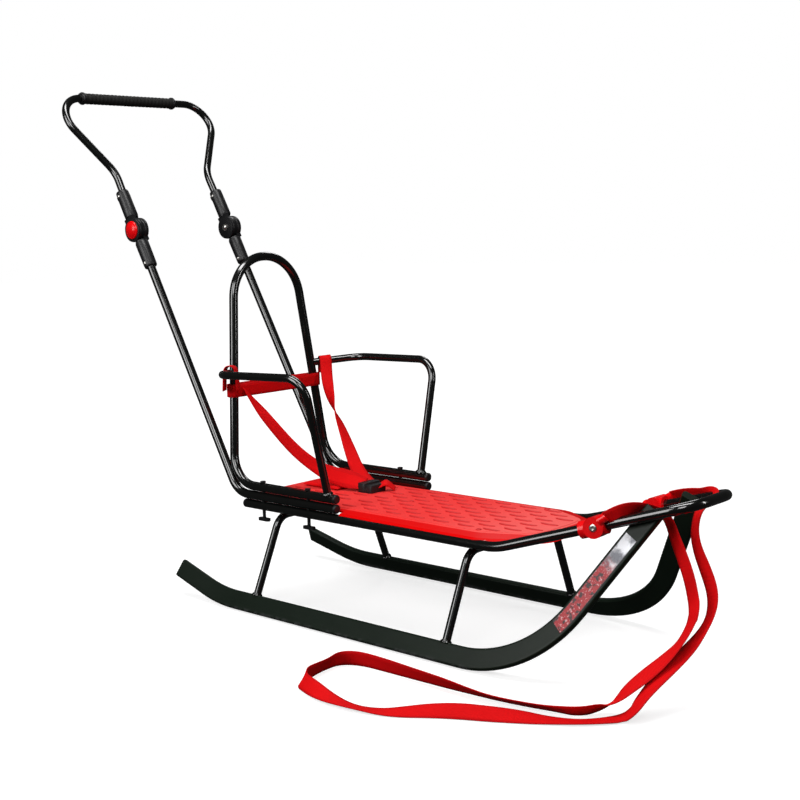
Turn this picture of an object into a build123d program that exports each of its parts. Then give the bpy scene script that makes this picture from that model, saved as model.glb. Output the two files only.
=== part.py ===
"""Steel-tube snow sled with a moulded seat, a backrest, armrests and a tilting push handle.

Frame: +X forward, +Y to the rider's left, +Z up, ground at Z = 0, millimetres.
"""
import os
from math import cos, radians, sin, tan

from build123d import *

# Shared clearances
seat_gap = 0.3          # between a piece and what it is welded, riveted or laid on
hinge_gap = 0.4         # between the two halves of a hinge knuckle

# Tubes
frame_d = 16.0          # seat frame, backrest and push tubes
leg_d = 13.5
arm_d = 14.0
handle_d = 14.5

# Runners: flat tube bent in a plane that leans inward
track_half = 174.5      # sole centre to the middle plane
runner_lean = 27.0      # degrees from upright
runner_h = 33.5
runner_t = 12.0
runner_corner = 4.0
runner_rear_x = -192.0
runner_rear_rise = 36.0
runner_rear_in = 6.0    # how far the rear tip stands in from the sole
runner_kick_x = -75.0   # where the rear starts to turn up
runner_bend_x = 608.0   # where the straight sole would meet the straight rise
runner_tip_x = 755.0
runner_tip_rise = 270.0  # measured up the leaning plane
runner_rear_bend_r = 300.0
runner_front_bend_r = 205.0

# Seat frame: two rails that rise and draw together to the nose
rail_half = 119.0
rail_z = 181.5
rail_rear_x = -55.0
rail_bend_x = 514.0
rail_bend_r = 120.0
nose_x = 822.0
nose_z = 274.0
nose_bend_r = 45.0
cap_t = 5.0             # plastic end plug, outside the tube

# Leg bows under the rails: name, foot x, top x
leg_bows = (("rear", 16.0, 22.0), ("front", 452.0, 456.0))
bow_bend_r = 30.0

# Stack: push tube and backrest foot lie on the rail and are clamped by screws
stack_gap = 0.8         # washers between the stacked tubes
stack_front_x = 170.0
screw_x = (-11.0, 104.0)
screw_d = 6.0
screw_hole_d = 6.6
screw_drop = 14.0       # bare shank below the rail
wing_w = 27.0
wing_t = 5.0
screw_cap_d = 10.0
screw_cap_h = 3.0

# Backrest hoop
back_foot_x = -88.5
back_top_x = -116.6
back_top_half = 74.5
back_top_z = 621.7
back_foot_bend_r = 56.0
back_top_bend_r = 81.0

# Push tubes up to the hinge
hinge_x = -344.8
hinge_half = 116.0
hinge_z = 676.5
push_foot_x = -80.0
push_bend_r = 45.0

# Hinge knuckles
knuckle_d = 45.0
knuckle_t = 22.0        # both halves together
knuckle_edge = 1.5
sleeve_d = 23.0
sleeve_start = 25.0     # from the hinge axis
sleeve_length = 48.0
tube_reach = 30.0       # tube end from the hinge axis
pin_d = 8.0
pin_play = 0.05
pin_head_d = 14.0
pin_head_t = 2.0
pin_recess = 0.5        # pin end below the face that the button covers
button_d = 34.0
button_t = 3.5
button_edge = 1.2

# Push handle: lyre-shaped hoop in a leaning plane
handle_lean = 60.9      # degrees from level
handle_neck = 127.0     # from the hinge to the flare, along the plane
handle_reach = 294.0    # from the hinge to the grip bar
handle_neck_half = 113.0
handle_flare_half = 212.0
handle_neck_r = 65.0
handle_top_r = 48.0      # leaves the bar straight under the grip
grip_half = 114.0
grip_set = -14.0        # the sleeve sits off the middle of the bar
grip_d = 21.0
collar_d = 24.5
collar_w = 8.0

# Armrests
arm_foot_x = 154.0
arm_front_x = 153.0
arm_front_half = 167.0
arm_top_z = 425.0
arm_rear_x = -48.0
arm_rear_half = 177.0
arm_rear_z = 421.0
arm_end_z = 414.0
arm_bend_r = 40.0
arm_rear_r = 45.0

# Seat: thin moulded pan draped over the rails
pan_wall = 2.2
pan_crown = 4.0         # flat top above the shoulder that lies on the rails
pan_rim_drop = 5.5      # rim below that shoulder
pan_shoulder_half = 119.5
pan_top_half = 101.0
pan_rim_half = 125.5
pan_rear_x = -58.0
pan_side_x = 490.0      # where the rim starts to taper
pan_front_x = 578.0
pan_front_half = 72.0
pan_shoulder_back = 6.0  # how far the shoulder stands back from the rim at the front
pan_top_back = 22.0     # and the flat top
pan_corner_r = 12.0
pan_side_r = 60.0
pan_front_r = 45.0
pan_notch_gap = 6.0     # around the stack
tread_rear_x = 138.0    # the tread field starts ahead of the buckle
tread_inset = 4.0
tread_t = 0.8

# Tow clips on the nose tubes
clip_x = 677.0
clip_length = 34.0
clip_d = 27.0
clip_boss_d = 32.0
clip_boss_t = 29.0
clip_ear_d = 14.0
clip_ear_l = 14.0
rivet_d = 12.0
rivet_h = 2.0

# Harness: a band round the uprights, two straps, a pad and a buckle on the seat
web_w = 24.0
web_t = 2.4
web_bend_r = 30.0
band_z = 382.0
band_room = 1.5         # between the band and the leaning uprights
buckle_x = 102.0
buckle_y = 32.0
buckle_l = 42.0
buckle_w = 30.0
buckle_t = 12.0
buckle_edge = 3.0
pad_x = 12.0
pad_y = 30.0
pad_l = 90.0
pad_w = 62.0
pad_t = 6.0
pad_corner_r = 14.0

# Tow strap, as a round stand-in for the webbing
strap_d = 12.0
strap_bend_share = 0.45


# Derived places
def lean_point(x, rise, side):
    """A point on a runner's leaning middle plane."""
    y = track_half - rise * sin(radians(runner_lean))
    z = sole_z + rise * cos(radians(runner_lean))
    return at(x, side * y, z)


def at(x, y, z):
    """Shift a point so that the sled is centred on the origin along X."""
    return (x - middle_x, y, z)


frame_r = frame_d / 2
sole_z = runner_h / 2 * cos(radians(runner_lean)) + runner_t / 2 * sin(radians(runner_lean))
handle_back = cos(radians(handle_lean))
handle_up = sin(radians(handle_lean))
grip_x = hinge_x - handle_reach * handle_back
grip_z = hinge_z + handle_reach * handle_up
middle_x = (nose_x + frame_r + grip_x - collar_d / 2) / 2
stack_pitch = frame_d + stack_gap
back_foot_half = rail_half
pan_shoulder_z = rail_z + frame_r + seat_gap + pan_wall
pan_top_z = pan_shoulder_z + pan_crown
pan_rim_z = pan_shoulder_z - pan_rim_drop
push_z = rail_z + stack_pitch
back_z = push_z + stack_pitch
bow_z = rail_z - frame_r - leg_d / 2 - seat_gap

# The nose tube passes the runner's tip on its outer face
tip_share = (runner_tip_x - rail_bend_x) / (nose_x - rail_bend_x)
tip_y = track_half - runner_tip_rise * sin(radians(runner_lean))
tip_z = sole_z + runner_tip_rise * cos(radians(runner_lean))
tip_tube_z = rail_z + (nose_z - rail_z) * tip_share
tip_reach = runner_t / 2 + frame_r + 3 * seat_gap
tip_tube_y = tip_y + (tip_reach + (tip_z - tip_tube_z) * sin(radians(runner_lean))) / cos(radians(runner_lean))
nose_half = rail_half + (tip_tube_y - rail_half) / tip_share

sides = (("left", 1), ("right", -1))


def nose_tube_point(x, side):
    """A point on the rising nose tube's axis."""
    share = (x - rail_bend_x) / (nose_x - rail_bend_x)
    y = rail_half + (nose_half - rail_half) * share
    z = rail_z + (nose_z - rail_z) * share
    return at(x, side * y, z)


def nose_tube_direction(side):
    return Vector(nose_x - rail_bend_x, side * (nose_half - rail_half), nose_z - rail_z).normalized()


def handle_point(along, y):
    """A point in the push handle's leaning plane."""
    return at(hinge_x - along * handle_back, y, hinge_z + along * handle_up)


def bent_tube(points, radii, diameter):
    """Sweep a round bar along straight runs joined by tangent bends."""
    with BuildLine() as path:
        FilletPolyline(*points, radius=radii)
    with BuildSketch(Plane(origin=path.line @ 0, z_dir=path.line % 0)) as section:
        Circle(diameter / 2)
    sweep(sections=section.sketch, path=path.line)


def finish(builder, name):
    builder.part.label = name
    export_step(builder.part, f"parts/{name}.step")


os.makedirs("parts", exist_ok=True)

# Seat frame: rails and nose from one bent tube
rail_points = [
    at(rail_rear_x, -rail_half, rail_z),
    at(rail_bend_x, -rail_half, rail_z),
    at(nose_x, -nose_half, nose_z),
    at(nose_x, nose_half, nose_z),
    at(rail_bend_x, rail_half, rail_z),
    at(rail_rear_x, rail_half, rail_z),
]
rail_radii = [rail_bend_r, nose_bend_r, nose_bend_r, rail_bend_r]
screw_places = [at(x, side * rail_half, rail_z) for x in screw_x for _, side in sides]

with BuildPart() as seat_frame:
    bent_tube(rail_points, rail_radii, frame_d)
    with Locations(*screw_places):
        Cylinder(screw_hole_d / 2, 2 * frame_d, mode=Mode.SUBTRACT)
finish(seat_frame, "seat_frame")

# Runners
for side_name, side in sides:
    lean_up = Vector(0, -side * sin(radians(runner_lean)), cos(radians(runner_lean)))
    lean_in = Vector(1, 0, 0).cross(lean_up)
    with BuildPart() as runner:
        with BuildLine() as runner_path:
            rear_z = sole_z + runner_rear_rise * cos(radians(runner_lean))
            FilletPolyline(
                at(runner_rear_x, side * (track_half - runner_rear_in), rear_z),
                lean_point(runner_kick_x, 0, side),
                lean_point(runner_bend_x, 0, side),
                lean_point(runner_tip_x, runner_tip_rise, side),
                radius=[runner_rear_bend_r, runner_front_bend_r],
            )
        start = Plane(origin=runner_path.line @ 0, x_dir=lean_in, z_dir=runner_path.line % 0)
        with BuildSketch(start):
            RectangleRounded(runner_t, runner_h, runner_corner)
        sweep(path=runner_path.line)
    finish(runner, f"runner_{side_name}")

# Leg bows: each stands on both runners and carries the rails
runner_top = runner_h / 2 + seat_gap
for bow_name, foot_x, top_x in leg_bows:
    corner_half = rail_half - leg_d / 2
    with BuildPart() as leg_bow:
        bent_tube(
            [
                lean_point(foot_x, 0, -1),
                at(top_x, -corner_half, bow_z),
                at(top_x, corner_half, bow_z),
                lean_point(foot_x, 0, 1),
            ],
            [bow_bend_r, bow_bend_r],
            leg_d,
        )
        for _, side in sides:
            lean_up = Vector(0, -side * sin(radians(runner_lean)), cos(radians(runner_lean)))
            split(bisect_by=Plane(origin=lean_point(foot_x, runner_top, side), z_dir=lean_up))
    finish(leg_bow, f"{bow_name}_leg_bow")

# Backrest hoop with its feet on the stack
with BuildPart() as backrest:
    bent_tube(
        [
            at(stack_front_x, -rail_half, back_z),
            at(back_foot_x, -back_foot_half, back_z),
            at(back_top_x, -back_top_half, back_top_z),
            at(back_top_x, back_top_half, back_top_z),
            at(back_foot_x, back_foot_half, back_z),
            at(stack_front_x, rail_half, back_z),
        ],
        [back_foot_bend_r, back_top_bend_r, back_top_bend_r, back_foot_bend_r],
        frame_d,
    )
    with Locations(*[at(x, side * rail_half, back_z) for x in screw_x for _, side in sides]):
        Cylinder(screw_hole_d / 2, 2 * frame_d, mode=Mode.SUBTRACT)
finish(backrest, "backrest_hoop")

# Push tubes: from the stack up to the hinge knuckles
hinge_points = {side: Vector(*at(hinge_x, side * hinge_half, hinge_z)) for _, side in sides}
push_feet = {side: Vector(*at(push_foot_x, side * rail_half, push_z)) for _, side in sides}
push_ways = {side: (push_feet[side] - hinge_points[side]).normalized() for _, side in sides}

for side_name, side in sides:
    with BuildPart() as push_tube:
        bent_tube(
            [
                hinge_points[side] + push_ways[side] * tube_reach,
                push_feet[side],
                at(stack_front_x, side * rail_half, push_z),
            ],
            [push_bend_r],
            frame_d,
        )
        with Locations(*[at(x, side * rail_half, push_z) for x in screw_x]):
            Cylinder(screw_hole_d / 2, 2 * frame_d, mode=Mode.SUBTRACT)
    finish(push_tube, f"push_tube_{side_name}")

# End plugs of the open tube ends: node, x, height, direction along X
plug_rows = (
    ("rail_end_plugs", rail_rear_x, rail_z, -1),
    ("push_tube_end_plugs", stack_front_x, push_z, 1),
    ("backrest_end_plugs", stack_front_x, back_z, 1),
)
for plug_name, plug_x, plug_z, plug_way in plug_rows:
    with BuildPart() as plugs:
        for _, side in sides:
            with BuildSketch(Plane(origin=at(plug_x, side * rail_half, plug_z), z_dir=(plug_way, 0, 0))):
                Circle(frame_r)
            extrude(amount=cap_t)
        fillet(plugs.edges().filter_by(GeomType.CIRCLE).group_by(Axis.X)[0 if plug_way < 0 else -1], cap_t / 2)
    finish(plugs, plug_name)

# Clamp screws: wing below the rail, shank through the stack, round cap on top
wing_top = rail_z - frame_r - screw_drop
stack_top = back_z + frame_r
with BuildPart() as clamp_screws:
    for x in screw_x:
        for _, side in sides:
            base = at(x, side * rail_half, wing_top - wing_t)
            with BuildSketch(Plane(origin=base)):
                SlotOverall(wing_w, screw_d * 1.6)
            extrude(amount=wing_t)
            with BuildSketch(Plane(origin=base)):
                Circle(screw_d / 2)
            extrude(amount=stack_top - wing_top + wing_t + seat_gap)
            with BuildSketch(Plane(origin=at(x, side * rail_half, stack_top + seat_gap))):
                Circle(screw_cap_d / 2)
            extrude(amount=screw_cap_h)
finish(clamp_screws, "clamp_screws")

# Armrests: saddle-cut foot on the backrest foot, far end on the upright
back_slope = (back_top_half - back_foot_half) / (back_top_z - back_z)
upright_half = back_foot_half + back_slope * (arm_end_z - back_z)
upright_x = back_foot_x + (back_top_x - back_foot_x) * (arm_end_z - back_z) / (back_top_z - back_z)
for side_name, side in sides:
    foot_low = Vector(*at(back_foot_x, side * back_foot_half, back_z))
    foot_high = Vector(*at(back_top_x, side * back_top_half, back_top_z))
    with BuildPart() as armrest:
        bent_tube(
            [
                at(arm_foot_x, side * rail_half, back_z),
                at(arm_front_x, side * arm_front_half, arm_top_z),
                at(arm_rear_x, side * arm_rear_half, arm_rear_z),
                at(upright_x, side * upright_half, arm_end_z),
            ],
            [arm_bend_r, arm_rear_r],
            arm_d,
        )
        with BuildSketch(Plane(origin=at(stack_front_x, side * rail_half, back_z), z_dir=(-1, 0, 0))):
            Circle(frame_r + seat_gap)
        extrude(amount=stack_front_x - screw_x[0], mode=Mode.SUBTRACT)
        with BuildSketch(Plane(origin=foot_low, z_dir=foot_high - foot_low)):
            Circle(frame_r + seat_gap)
        extrude(amount=(foot_high - foot_low).length, mode=Mode.SUBTRACT)
        pieces = armrest.part.solids().sort_by(SortBy.VOLUME)
        if len(pieces) > 1:
            add(pieces[-1], mode=Mode.REPLACE)
    finish(armrest, f"armrest_{side_name}")

# Hinge knuckles: lower half on the push tube, upper half on the handle
half_t = (knuckle_t - hinge_gap) / 2
necks = {side: Vector(*handle_point(handle_neck, side * handle_neck_half)) for _, side in sides}
handle_ways = {side: (necks[side] - hinge_points[side]).normalized() for _, side in sides}
for side_name, side in sides:
    centre = hinge_points[side]
    halves = (("lower", 1, push_ways[side]), ("upper", -1, handle_ways[side]))
    for half_name, face_side, sleeve_way in halves:
        disc_start = centre + Vector(0, face_side * hinge_gap / 2, 0)
        with BuildPart() as knuckle:
            with BuildSketch(Plane(origin=disc_start, x_dir=(1, 0, 0), z_dir=(0, face_side, 0))):
                Circle(knuckle_d / 2)
            extrude(amount=half_t)
            with BuildSketch(Plane(origin=disc_start, x_dir=sleeve_way, z_dir=(0, face_side, 0))):
                with Locations((sleeve_start / 2, 0)):
                    Rectangle(sleeve_start + 2 * knuckle_edge, sleeve_d)
            extrude(amount=half_t)
            sleeve_plane = Plane(origin=centre + sleeve_way * sleeve_start, z_dir=sleeve_way)
            with BuildSketch(sleeve_plane):
                Circle(sleeve_d / 2)
            extrude(amount=sleeve_length)
            tube_d = frame_d if half_name == "lower" else handle_d
            with BuildSketch(sleeve_plane.offset(tube_reach - sleeve_start - seat_gap)):
                Circle(tube_d / 2 + seat_gap)
            extrude(amount=sleeve_length, mode=Mode.SUBTRACT)
            with BuildSketch(Plane(origin=centre - Vector(0, knuckle_t, 0), z_dir=(0, 1, 0))):
                Circle(pin_d / 2 + pin_play)
            extrude(amount=2 * knuckle_t, mode=Mode.SUBTRACT)
        finish(knuckle, f"knuckle_{half_name}_{side_name}")

# Hinge pins with a flat head; a push button covers the other face
for side_name, side in sides:
    centre = hinge_points[side]
    button_way = Vector(0, side, 0)
    with BuildPart() as pin:
        with BuildSketch(Plane(origin=centre - button_way * (knuckle_t / 2), z_dir=button_way)):
            Circle(pin_d / 2)
        extrude(amount=knuckle_t - pin_recess)
        with BuildSketch(Plane(origin=centre - button_way * (knuckle_t / 2 + seat_gap), z_dir=-button_way)):
            Circle(pin_head_d / 2)
        extrude(amount=pin_head_t)
        with BuildSketch(Plane(origin=centre - button_way * (knuckle_t / 2 + seat_gap), z_dir=button_way)):
            Circle(pin_d / 2)
        extrude(amount=knuckle_t / 2)
    finish(pin, f"hinge_pin_{side_name}")
    with BuildPart() as button:
        with BuildSketch(Plane(origin=centre + button_way * (knuckle_t / 2), z_dir=button_way)):
            Circle(button_d / 2)
        extrude(amount=button_t)
        fillet(button.faces().sort_by(Axis.Y)[0 if side < 0 else -1].edges(), button_edge)
    finish(button, f"hinge_button_{side_name}")

# Push handle hoop
with BuildPart() as handle:
    bent_tube(
        [
            hinge_points[-1] + handle_ways[-1] * tube_reach,
            necks[-1],
            handle_point(handle_reach, -handle_flare_half),
            handle_point(handle_reach, handle_flare_half),
            necks[1],
            hinge_points[1] + handle_ways[1] * tube_reach,
        ],
        [handle_neck_r, handle_top_r, handle_top_r, handle_neck_r],
        handle_d,
    )
finish(handle, "push_handle_hoop")

# Grip sleeve with end collars
with BuildPart() as grip:
    with BuildSketch(Plane(origin=handle_point(handle_reach, grip_set - grip_half), z_dir=(0, 1, 0))):
        Circle(grip_d / 2)
    extrude(amount=2 * grip_half)
    for _, side in sides:
        with BuildSketch(Plane(origin=handle_point(handle_reach, grip_set + side * grip_half), z_dir=(0, -side, 0))):
            Circle(collar_d / 2)
        extrude(amount=collar_w)
    with BuildSketch(Plane(origin=handle_point(handle_reach, -2 * grip_half), z_dir=(0, 1, 0))):
        Circle(handle_d / 2 + seat_gap)
    extrude(amount=4 * grip_half, mode=Mode.SUBTRACT)
finish(grip, "push_grip")


# Seat pan: sloped borders lie over the rails, notched beside the stack
def pan_outline(half, side_x, front_x, front_half, rear_x):
    """Half-symmetric pan outline with rounded shoulders and front corners."""
    with BuildLine() as outline:
        FilletPolyline(
            (rear_x, half),
            (side_x, half),
            (front_x, front_half),
            (front_x, -front_half),
            (side_x, -half),
            (rear_x, -half),
            radius=[pan_corner_r, pan_side_r, pan_front_r, pan_front_r, pan_side_r, pan_corner_r],
            close=True,
        )
    make_face(outline.edges())


# Pan levels from the rim up: height, half width, how far it stands back at the front
pan_levels = (
    (pan_rim_z, pan_rim_half, 0.0),
    (pan_shoulder_z, pan_shoulder_half, pan_shoulder_back),
    (pan_top_z, pan_top_half, pan_top_back),
)
pan_forms = ((0.0, Mode.ADD), (pan_wall, Mode.SUBTRACT))
with BuildPart() as seat_pan:
    for wall, pan_mode in pan_forms:
        for level_pair in zip(pan_levels, pan_levels[1:]):
            for level_z, half, back in level_pair:
                drop = wall if level_z > pan_rim_z else 0.0
                front_half = pan_front_half - (back + wall) / 2
                with BuildSketch(Plane(origin=at(0, 0, level_z - drop))):
                    pan_outline(half - wall, pan_side_x - back, pan_front_x - back - wall, front_half, pan_rear_x + wall)
            loft(ruled=True, mode=pan_mode)
    with BuildSketch(Plane(origin=at(0, 0, pan_top_z))):
        pan_outline(
            pan_top_half - tread_inset,
            pan_side_x - pan_top_back,
            pan_front_x - pan_top_back - tread_inset,
            pan_front_half - (pan_top_back + tread_inset) / 2,
            tread_rear_x,
        )
    extrude(amount=tread_t)
    notch_x = stack_front_x + cap_t + pan_notch_gap
    notch_half = rail_half - frame_r - seat_gap
    for _, side in sides:
        with BuildSketch(Plane(origin=at(notch_x, 0, 0))):
            with Locations((pan_rear_x - notch_x, side * (notch_half + pan_rim_half / 2))):
                Rectangle(-2 * (pan_rear_x - notch_x), pan_rim_half)
        extrude(amount=2 * pan_top_z, mode=Mode.SUBTRACT)
    with BuildLine() as rail_path:
        FilletPolyline(*rail_points, radius=rail_radii)
    with BuildSketch(Plane(origin=rail_path.line @ 0, z_dir=rail_path.line % 0)):
        Circle(frame_r + seat_gap)
    sweep(path=rail_path.line, mode=Mode.SUBTRACT)
finish(seat_pan, "seat_pan")

# Harness band: one loop of webbing round both uprights
band_share = (band_z - back_z) / (back_top_z - back_z)
band_x = back_foot_x + (back_top_x - back_foot_x) * band_share
band_half = back_foot_half + (back_top_half - back_foot_half) * band_share
band_inner = frame_d + 2 * band_room
with BuildPart() as harness_band:
    with BuildSketch(Plane(origin=at(band_x, 0, band_z - web_w / 2), x_dir=(0, 1, 0))):
        SlotCenterToCenter(2 * band_half, band_inner + 2 * web_t)
        SlotCenterToCenter(2 * band_half, band_inner, mode=Mode.SUBTRACT)
    extrude(amount=web_w)
finish(harness_band, "harness_band")

# Buckle and pad lie on the seat
with BuildPart() as buckle:
    with BuildSketch(Plane(origin=at(buckle_x, buckle_y, pan_top_z + seat_gap))):
        RectangleRounded(buckle_w, buckle_l, buckle_edge)
    extrude(amount=buckle_t)
    fillet(buckle.faces().sort_by(Axis.Z)[-1].edges(), buckle_edge)
finish(buckle, "harness_buckle")

with BuildPart() as pad:
    with BuildSketch(Plane(origin=at(pad_x, pad_y, pan_top_z + seat_gap))):
        RectangleRounded(pad_l, pad_w, pad_corner_r)
    extrude(amount=pad_t)
finish(pad, "harness_pad")

# Straps run from the band down to the buckle's rear face
buckle_rear = buckle_x - buckle_w / 2 - seat_gap
strap_low_z = pan_top_z + seat_gap + buckle_t * 0.75
harness_rows = (
    ("left", ((-79, 94, 386), (-40, 88, 337), (36, 62, 232), (58, 45, strap_low_z), (buckle_rear, 45, strap_low_z))),
    ("right", ((-79, -90, 372), (-2, -20, 260), (36, 14, 221), (58, 20, strap_low_z), (buckle_rear, 20, strap_low_z))),
)
for side_name, strap_route in harness_rows:
    route = [at(*point) for point in strap_route]
    with BuildPart() as harness_strap:
        with BuildLine() as web_path:
            FilletPolyline(*route, radius=web_bend_r)
        with BuildSketch(Plane(origin=web_path.line @ 0, x_dir=(0, 1, 0), z_dir=web_path.line % 0)):
            Rectangle(web_w, web_t)
        sweep(path=web_path.line)
    finish(harness_strap, f"harness_strap_{side_name}")

# Tow strap route: one loop of webbing from clip to clip, lying on the ground
strap_points = [
    at(699, -94, 250),
    at(713, -89, 260),
    at(722, -70, 267),
    at(736, -40, 267),
    at(748, -24, 255),
    at(756, -17, 235),
    at(767, -16, 210),
    at(791, -24, 175),
    at(813, -42, 141),
    at(824, -70, 114),
    at(824, -108, 90),
    at(815, -145, 65),
    at(800, -178, 41),
    at(782, -206, 20),
    at(748, -228, 9),
    at(686, -243, 8),
    at(583, -248, 8),
    at(490, -250, 8),
    at(384, -246, 8),
    at(330, -252, 8),
    at(303, -280, 8),
    at(318, -335, 8),
    at(350, -388, 8),
    at(408, -413, 8),
    at(476, -411, 8),
    at(553, -386, 8),
    at(614, -352, 8),
    at(672, -316, 8),
    at(740, -272, 8),
    at(795, -238, 9),
    at(818, -200, 18),
    at(830, -156, 38),
    at(838, -110, 66),
    at(844, -66, 98),
    at(840, -32, 128),
    at(826, -14, 154),
    at(806, -3, 184),
    at(792, 6, 218),
    at(793, 15, 249),
    at(798, 30, 272),
    at(790, 54, 284),
    at(766, 76, 280),
    at(738, 88, 268),
    at(715, 92, 260),
    at(699, 94, 250),
]

# Tow clips with a strap ear, and their rivets
strap_ends = {
    -1: (Vector(*strap_points[0]), Vector(*strap_points[1])),
    1: (Vector(*strap_points[-1]), Vector(*strap_points[-2])),
}
for side_name, side in sides:
    way = nose_tube_direction(side)
    centre = Vector(*nose_tube_point(clip_x, side))
    out = Vector(0, side, 0)
    face_out = (out - way * out.dot(way)).normalized()
    with BuildPart() as clip:
        with BuildSketch(Plane(origin=centre - way * (clip_length * 0.75), z_dir=way)):
            Circle(clip_d / 2)
        extrude(amount=clip_length * 1.25)
        with BuildSketch(Plane(origin=centre - face_out * (clip_boss_t / 2), z_dir=face_out)):
            Circle(clip_boss_d / 2)
        extrude(amount=clip_boss_t)
        strap_end, strap_next = strap_ends[side]
        with BuildSketch(Plane(origin=strap_end, z_dir=strap_end - strap_next)):
            Circle(clip_ear_d / 2)
        extrude(amount=clip_ear_l)
        with BuildSketch(Plane(origin=centre - way * (2 * clip_length), z_dir=way)):
            Circle(frame_r + seat_gap)
        extrude(amount=4 * clip_length, mode=Mode.SUBTRACT)
    finish(clip, f"tow_clip_{side_name}")
    with BuildPart() as rivet:
        with BuildSketch(Plane(origin=centre + face_out * (clip_boss_t / 2), z_dir=face_out)):
            Circle(rivet_d / 2)
        extrude(amount=rivet_h)
    finish(rivet, f"tow_clip_rivet_{side_name}")

# Tow strap
def strap_radii(points):
    """Each bend as large as its two runs allow."""
    radii = []
    for before, corner, after in zip(points, points[1:], points[2:]):
        run_in = Vector(*corner) - Vector(*before)
        run_out = Vector(*after) - Vector(*corner)
        half_turn = radians(run_in.get_angle(run_out)) / 2
        radii.append(strap_bend_share * min(run_in.length, run_out.length) / tan(half_turn))
    return radii


with BuildPart() as tow_strap:
    with BuildLine() as strap_path:
        FilletPolyline(*strap_points, radius=strap_radii(strap_points))
    with BuildSketch(Plane(origin=strap_path.line @ 0, z_dir=strap_path.line % 0)):
        Circle(strap_d / 2)
    sweep(path=strap_path.line)
finish(tow_strap, "tow_strap")
print("strap length", round(strap_path.wire().length))
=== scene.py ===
# %% [markdown]
# # A snow sled, dressed over its CAD frame
# The frame holds every tube and moulding of the sled in metres: +X runs to the nose, +Y to the
# rider's left and +Z up. This file lays the webbing, the tread and the small fittings over it,
# gives each surface its finish, and sets up a white studio. Places are in millimetres, on a
# drawing whose X has its own zero.

# %% Load the frame
from math import cos, radians, sin, tau

import bmesh
import bpy
from mathutils import Matrix, Vector, noise


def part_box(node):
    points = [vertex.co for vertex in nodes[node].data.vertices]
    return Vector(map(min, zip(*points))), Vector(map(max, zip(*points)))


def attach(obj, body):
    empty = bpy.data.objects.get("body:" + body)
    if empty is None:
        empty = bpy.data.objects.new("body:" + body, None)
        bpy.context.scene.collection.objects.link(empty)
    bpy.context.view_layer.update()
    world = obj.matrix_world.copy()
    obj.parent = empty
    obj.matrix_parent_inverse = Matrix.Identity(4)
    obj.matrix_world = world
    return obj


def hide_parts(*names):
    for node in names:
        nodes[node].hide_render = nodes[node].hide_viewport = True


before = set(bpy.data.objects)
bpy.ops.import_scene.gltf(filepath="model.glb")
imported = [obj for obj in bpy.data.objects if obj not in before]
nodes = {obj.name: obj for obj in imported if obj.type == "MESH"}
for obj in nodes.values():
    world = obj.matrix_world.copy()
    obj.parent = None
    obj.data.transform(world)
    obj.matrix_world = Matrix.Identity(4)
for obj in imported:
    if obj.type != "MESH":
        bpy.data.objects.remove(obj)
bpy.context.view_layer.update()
MM = 0.001
NOSE_FRONT = 830.0      # the nose tube's front, on the drawing's own X scale
MIDDLE = NOSE_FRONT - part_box("seat_frame")[1][0] / MM


def at(x, y, z):
    """A place on the drawing, in millimetres, as a place in the scene."""
    return Vector(((x - MIDDLE) * MM, y * MM, z * MM))


print("frame loaded:", len(nodes), "CAD pieces, drawing middle", round(MIDDLE, 2), "mm")

# %% [markdown]
# ## Camera
# The sled is seen through a long lens from the front right, a little above the seat. A camera can be
# aimed with a Track To constraint, but that keeps it level. Here its three axes are worked out from
# heading, tilt and roll, because a roll of one and a half degrees is part of the picture.

# %% Camera
LENS, SENSOR = 60.032, 36                               # millimetres
HEADING, TILT, ROLL = 2.309667, -0.134011, -0.027645    # radians
CAMERA_PLACE = (1750.595, -1683.564, 681.549)           # on the drawing
ahead = Vector((cos(TILT) * cos(HEADING), cos(TILT) * sin(HEADING), sin(TILT)))
level_right = ahead.cross(Vector((0, 0, 1))).normalized()
level_up = level_right.cross(ahead)
view_right = cos(ROLL) * level_right + sin(ROLL) * level_up
view_up = cos(ROLL) * level_up - sin(ROLL) * level_right
camera_data = bpy.data.cameras.new("photo_camera")
camera_data.lens = LENS
camera_data.sensor_width = SENSOR
camera = bpy.data.objects.new("photo_camera", camera_data)
bpy.context.collection.objects.link(camera)
turn = Matrix((view_right, view_up, -ahead)).transposed().to_4x4()
camera.matrix_world = Matrix.Translation(at(*CAMERA_PLACE)) @ turn
bpy.context.scene.camera = camera
print("camera at", [round(v, 3) for v in camera.matrix_world.translation])

# %% [markdown]
# ## Writing a finish as a formula
# A finish is a small graph of shader nodes. Wiring it node by node takes many lines and hides the
# idea. Wrapping one socket in a class lets plain Python do the wiring: adding or multiplying two
# values adds a Math node, and every other node comes from one method.


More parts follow.
